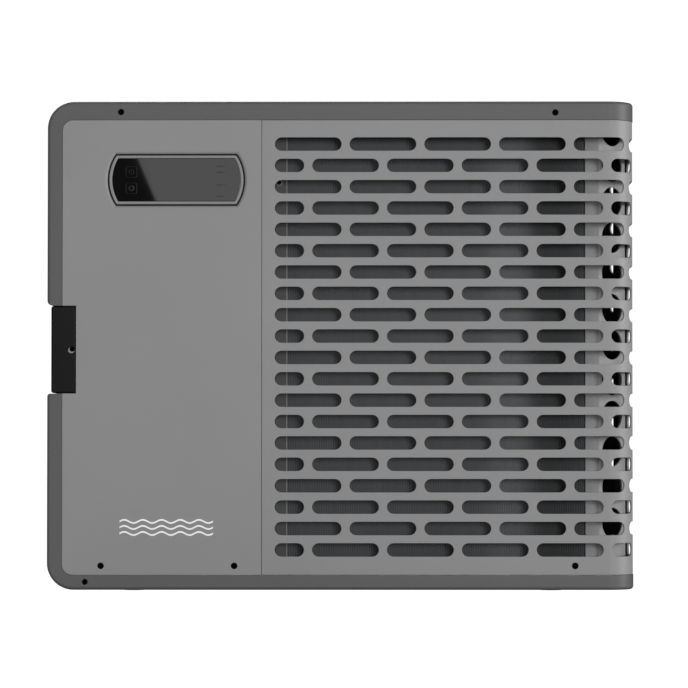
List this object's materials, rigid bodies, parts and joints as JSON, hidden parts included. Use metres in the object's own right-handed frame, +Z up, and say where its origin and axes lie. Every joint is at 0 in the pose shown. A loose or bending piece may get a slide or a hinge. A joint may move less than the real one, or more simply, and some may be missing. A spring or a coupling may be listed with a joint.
{
  "type": "pool heat pump",
  "caption": "Small pool heat pump: a wrapped grey casing with a slotted air grille round its corner, a display, a side grip, a rear fan and hose unions.",
  "frame": {"origin": "on the floor, under the middle of the whole unit's box, water fittings included", "axes": "+X to the right of someone facing the front, +Y to the rear, +Z up; the display and the grille face -Y"},
  "size_m": [0.44, 0.282, 0.369],
  "materials": {
    "shell_grey": "fine-texture powder coat, dark grey, satin",
    "panel_grey": "fine-texture powder coat, mid grey, satin",
    "black_plastic": "moulded, finely textured",
    "black_screws": "black oxide, satin",
    "display_glass": "glossy dark lens over the display",
    "coated_fins": "dark coated fins",
    "galvanised_sheet": "galvanised, dull",
    "steel": "bright turned steel",
    "copper": "drawn copper tube",
    "brass": "machined brass",
    "machine_black": "black enamel",
    "white_plastic": "rigid PVC pipe",
    "grey_plastic": "moulded ABS and PVC",
    "circuit_board": "solder mask",
    "rubber": "moulded rubber"
  },
  "bodies": {
    "casing": {"outer_shell": "shell_grey", "front_left_panel": "panel_grey", "front_grille": "panel_grey", "rear_left_panel": "panel_grey", "rear_right_panel": "panel_grey", "display_bezel": "panel_grey", "corner_post": "panel_grey", "evaporator_end_plate": "panel_grey", "side_grip": "black_plastic", "fan_guard": "black_plastic", "fan_shroud": "black_plastic", "flow_switch": "black_plastic", "cable_gland": "black_plastic", "cable_gland_nut": "black_plastic", "top_screw_left": "black_screws", "top_screw_right": "black_screws", "bottom_screw": "black_screws", "panel_screw_left": "black_screws", "panel_screw_right": "black_screws", "grille_screw": "black_screws", "grip_screw": "black_screws", "display_glass": "display_glass", "evaporator_core": "coated_fins", "base_pan": "galvanised_sheet", "partition_wall": "galvanised_sheet", "motor_bracket": "galvanised_sheet", "gas_header": "copper", "accumulator_pipe": "copper", "suction_pipe": "copper", "exchanger_gas_pipe": "copper", "coil_gas_pipe": "copper", "filter_drier": "copper", "liquid_pipe": "copper", "coil_feed_pipe": "copper", "four_way_valve": "brass", "expansion_valve": "brass", "compressor": "machine_black", "accumulator": "machine_black", "fan_motor": "machine_black", "water_inlet_pipe": "white_plastic", "water_outlet_pipe": "white_plastic", "heat_exchanger": "grey_plastic", "inlet_hose_spigot": "grey_plastic", "outlet_hose_spigot": "grey_plastic", "electrical_box": "grey_plastic", "main_board": "circuit_board", "display_board": "circuit_board", "foot_front_left": "rubber", "foot_front_right": "rubber", "foot_rear_left": "rubber", "foot_rear_right": "rubber", "compressor_grommet_1": "rubber", "compressor_grommet_2": "rubber", "compressor_grommet_3": "rubber"},
    "fan": {"motor_shaft": "steel", "fan_impeller": "black_plastic", "impeller_nut": "steel"},
    "inlet_nut": {"inlet_union_nut": "grey_plastic"},
    "outlet_nut": {"outlet_union_nut": "grey_plastic"},
    "paddle": {"flow_paddle": "steel"}
  },
  "joints": [
    {"name": "fan_spin", "type": "hinge", "parent": "casing", "child": "fan", "pos_m": [0.076, 0.063, 0.186], "axis": [0, 1, 0], "continuous": true},
    {"name": "inlet_nut_turn", "type": "hinge", "parent": "casing", "child": "inlet_nut", "pos_m": [-0.128, 0.111, 0.05], "axis": [0, 1, 0], "continuous": true},
    {"name": "outlet_nut_turn", "type": "hinge", "parent": "casing", "child": "outlet_nut", "pos_m": [-0.128, 0.111, 0.205], "axis": [0, 1, 0], "continuous": true},
    {"name": "paddle_swing", "type": "hinge", "parent": "casing", "child": "paddle", "pos_m": [-0.128, 0.082, 0.223], "axis": [1, 0, 0], "range_deg": [0, 25]}
  ]
}
